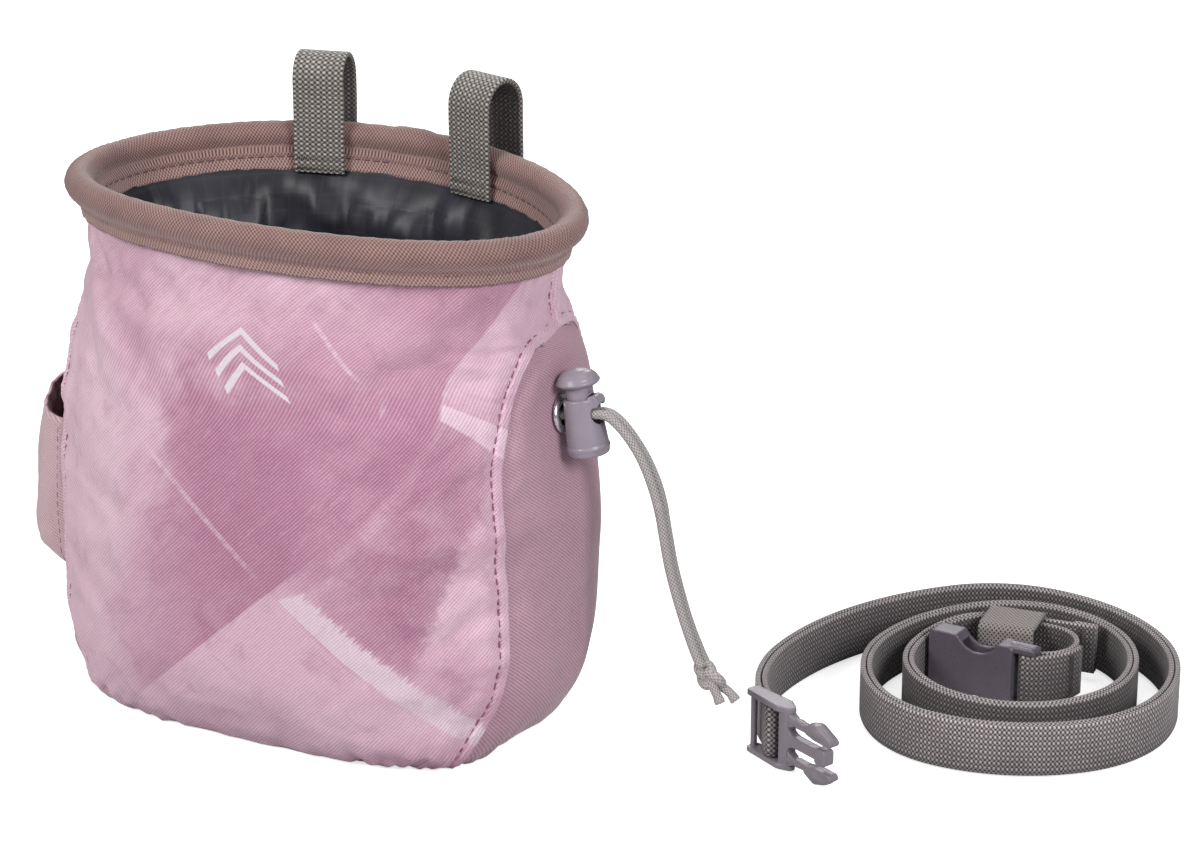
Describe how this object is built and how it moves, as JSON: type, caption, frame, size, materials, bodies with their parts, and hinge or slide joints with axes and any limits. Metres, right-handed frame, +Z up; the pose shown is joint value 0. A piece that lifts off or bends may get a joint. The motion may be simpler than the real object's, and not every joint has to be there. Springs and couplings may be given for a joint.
{
  "type": "chalk bag with waist belt",
  "caption": "Fabric chalk bag with a stiffened oval mouth, drawcord closure with cord lock, brush sleeve, belt loops and a coiled webbing belt with side-release buckle.",
  "frame": {"origin": "centre of the bag's base, on the face it rests on", "axes": "+Z up, the printed front faces -Y, the cord lock and the belt are on the +X side"},
  "size_m": [0.322, 0.1863, 0.175],
  "materials": {
    "shell_print": "printed twill, pink watercolour bands",
    "side_fabric": "plain mauve twill",
    "fleece": "soft fleece pile",
    "stiffener": "matte",
    "binding_tape": "ribbed dusty rose tape",
    "eyelet_metal": "bright plated",
    "cord": "braided cord",
    "webbing": "ribbed warm grey webbing",
    "lock_plastic": "satin moulded",
    "spring_steel": "drawn wire",
    "elastic": "woven elastic",
    "socket_plastic": "satin moulded",
    "plug_plastic": "satin moulded",
    "sleeve_nylon": "thin dark nylon"
  },
  "bodies": {
    "bag": {"front_panel": "shell_print", "back_panel": "shell_print", "side_panel_right": "side_fabric", "side_panel_left": "side_fabric", "base_panel": "side_fabric", "fleece_liner": "fleece", "rim_ring": "stiffener", "rim_binding": "binding_tape", "eyelet": "eyelet_metal", "eyelet_washer": "eyelet_metal", "drawcord_inner": "cord", "brush_sleeve": "side_fabric", "brush_sleeve_hem": "side_fabric", "loop_tab_left": "webbing", "loop_tab_right": "webbing"},
    "loop_left": {"loop_left": "webbing"},
    "loop_right": {"loop_right": "webbing"},
    "sleeve_flap_1": {"sleeve_flap_1": "sleeve_nylon"},
    "sleeve_flap_2": {"sleeve_flap_2": "sleeve_nylon"},
    "sleeve_flap_3": {"sleeve_flap_3": "sleeve_nylon"},
    "sleeve_flap_4": {"sleeve_flap_4": "sleeve_nylon"},
    "sleeve_flap_5": {"sleeve_flap_5": "sleeve_nylon"},
    "sleeve_flap_6": {"sleeve_flap_6": "sleeve_nylon"},
    "sleeve_flap_7": {"sleeve_flap_7": "sleeve_nylon"},
    "sleeve_flap_8": {"sleeve_flap_8": "sleeve_nylon"},
    "cord_lock": {"cord_lock_body": "lock_plastic", "cord_lock_spring": "spring_steel"},
    "lock_button": {"cord_lock_button": "lock_plastic"},
    "cord_upper": {"cord_upper": "cord"},
    "cord_lower": {"cord_lower": "cord"},
    "belt": {"belt_webbing": "webbing"},
    "keeper": {"belt_keeper": "elastic"},
    "socket": {"buckle_socket": "socket_plastic"},
    "plug": {"buckle_plug": "plug_plastic"},
    "arm_upper": {"plug_arm_upper": "plug_plastic"},
    "arm_lower": {"plug_arm_lower": "plug_plastic"}
  },
  "joints": [
    {"name": "cord_pull", "type": "slide", "parent": "bag", "child": "cord_upper", "axis": [0.9848, 0, 0.1736], "range_m": [0, 0.06]},
    {"name": "cord_swing", "type": "hinge", "parent": "cord_upper", "child": "cord_lower", "pos_m": [0.10372, 0.0015, 0.0755], "axis": [0, 1, 0], "range_deg": [-25, 20], "stiffness_Nm_per_rad": 0.01},
    {"name": "lock_swivel", "type": "hinge", "parent": "bag", "child": "cord_lock", "pos_m": [0.08009, 0.0015, 0.0982], "axis": [0.9848, 0, 0.1736], "range_deg": [-40, 40], "stiffness_Nm_per_rad": 0.002},
    {"name": "lock_button_press", "type": "slide", "parent": "cord_lock", "child": "lock_button", "axis": [0.1736, 0, -0.9848], "range_m": [0, 0.0025], "stiffness_N_per_m": 600, "springref_m": -0.003, "deforming": ["cord_lock_spring"]},
    {"name": "flap_1_fold", "type": "hinge", "parent": "bag", "child": "sleeve_flap_1", "pos_m": [0.0603, 0.003, 0.134], "axis": [0, 1, 0], "range_deg": [0, 24.5], "stiffness_Nm_per_rad": 0.0003},
    {"name": "flap_2_fold", "type": "hinge", "parent": "bag", "child": "sleeve_flap_2", "pos_m": [0.04205, 0.03044, 0.134], "axis": [-0.8488, 0.5287, 0], "range_deg": [0, 34.5], "stiffness_Nm_per_rad": 0.0003},
    {"name": "flap_3_fold", "type": "hinge", "parent": "bag", "child": "sleeve_flap_3", "pos_m": [-0.002, 0.0418, 0.134], "axis": [-1, 0, 0], "range_deg": [0, 44.5], "stiffness_Nm_per_rad": 0.0003},
    {"name": "flap_4_fold", "type": "hinge", "parent": "bag", "child": "sleeve_flap_4", "pos_m": [-0.04605, 0.03044, 0.134], "axis": [-0.8488, -0.5287, 0], "range_deg": [0, 34.5], "stiffness_Nm_per_rad": 0.0003},
    {"name": "flap_5_fold", "type": "hinge", "parent": "bag", "child": "sleeve_flap_5", "pos_m": [-0.0643, 0.003, 0.134], "axis": [0, -1, 0], "range_deg": [0, 24.5], "stiffness_Nm_per_rad": 0.0003},
    {"name": "flap_6_fold", "type": "hinge", "parent": "bag", "child": "sleeve_flap_6", "pos_m": [-0.04605, -0.02444, 0.134], "axis": [0.8488, -0.5287, 0], "range_deg": [0, 34.5], "stiffness_Nm_per_rad": 0.0003},
    {"name": "flap_7_fold", "type": "hinge", "parent": "bag", "child": "sleeve_flap_7", "pos_m": [-0.002, -0.0358, 0.134], "axis": [1, 0, 0], "range_deg": [0, 44.5], "stiffness_Nm_per_rad": 0.0003},
    {"name": "flap_8_fold", "type": "hinge", "parent": "bag", "child": "sleeve_flap_8", "pos_m": [0.04205, -0.02444, 0.134], "axis": [0.8488, 0.5287, 0], "range_deg": [0, 34.5], "stiffness_Nm_per_rad": 0.0003},
    {"name": "loop_left_flex", "type": "hinge", "parent": "bag", "child": "loop_left", "pos_m": [-0.03048, 0.0494, 0.14998], "axis": [-0.9617, -0.2742, 0], "range_deg": [-20, 20], "stiffness_Nm_per_rad": 0.05},
    {"name": "loop_right_flex", "type": "hinge", "parent": "bag", "child": "loop_right", "pos_m": [0.02251, 0.05044, 0.14921], "axis": [-0.9724, 0.2334, 0], "range_deg": [-20, 20], "stiffness_Nm_per_rad": 0.05},
    {"name": "belt_takeaway", "type": "slide", "parent": "bag", "child": "belt", "axis": [1, 0, 0], "range_m": [0, 0.15]},
    {"name": "keeper_slide", "type": "slide", "parent": "belt", "child": "keeper", "axis": [0.9925, 0.1219, 0], "range_m": [-0.003, 0.002]},
    {"name": "plug_pivot", "type": "hinge", "parent": "belt", "child": "plug", "pos_m": [0.1312, 0.0167, 0.0095], "axis": [0, 0, 1], "range_deg": [-5, 28], "stiffness_Nm_per_rad": 0.005},
    {"name": "socket_pivot", "type": "hinge", "parent": "belt", "child": "socket", "pos_m": [0.18013, 0.08202, 0.0095], "axis": [0, 0, 1], "range_deg": [-10, 10], "stiffness_Nm_per_rad": 0.005},
    {"name": "arm_lower_bend", "type": "hinge", "parent": "plug", "child": "arm_lower", "pos_m": [0.14086, 0.01209, 0.0036], "axis": [0.4305, 0.9026, 0], "range_deg": [-5.5, 0], "stiffness_Nm_per_rad": 0.05},
    {"name": "arm_upper_bend", "type": "hinge", "parent": "plug", "child": "arm_upper", "pos_m": [0.14086, 0.01209, 0.0152], "axis": [0.4305, 0.9026, 0], "range_deg": [0, 5.5], "stiffness_Nm_per_rad": 0.05}
  ],
  "couplings": [
    {"joint": "flap_1_fold", "follows": "cord_pull", "rad_per_m": 6.9813},
    {"joint": "flap_2_fold", "follows": "cord_pull", "rad_per_m": 9.8902},
    {"joint": "flap_3_fold", "follows": "cord_pull", "rad_per_m": 12.799},
    {"joint": "flap_4_fold", "follows": "cord_pull", "rad_per_m": 9.8902},
    {"joint": "flap_5_fold", "follows": "cord_pull", "rad_per_m": 6.9813},
    {"joint": "flap_6_fold", "follows": "cord_pull", "rad_per_m": 9.8902},
    {"joint": "flap_7_fold", "follows": "cord_pull", "rad_per_m": 12.799},
    {"joint": "flap_8_fold", "follows": "cord_pull", "rad_per_m": 9.8902},
    {"joint": "arm_upper_bend", "follows": "arm_lower_bend", "ratio": -1}
  ]
}
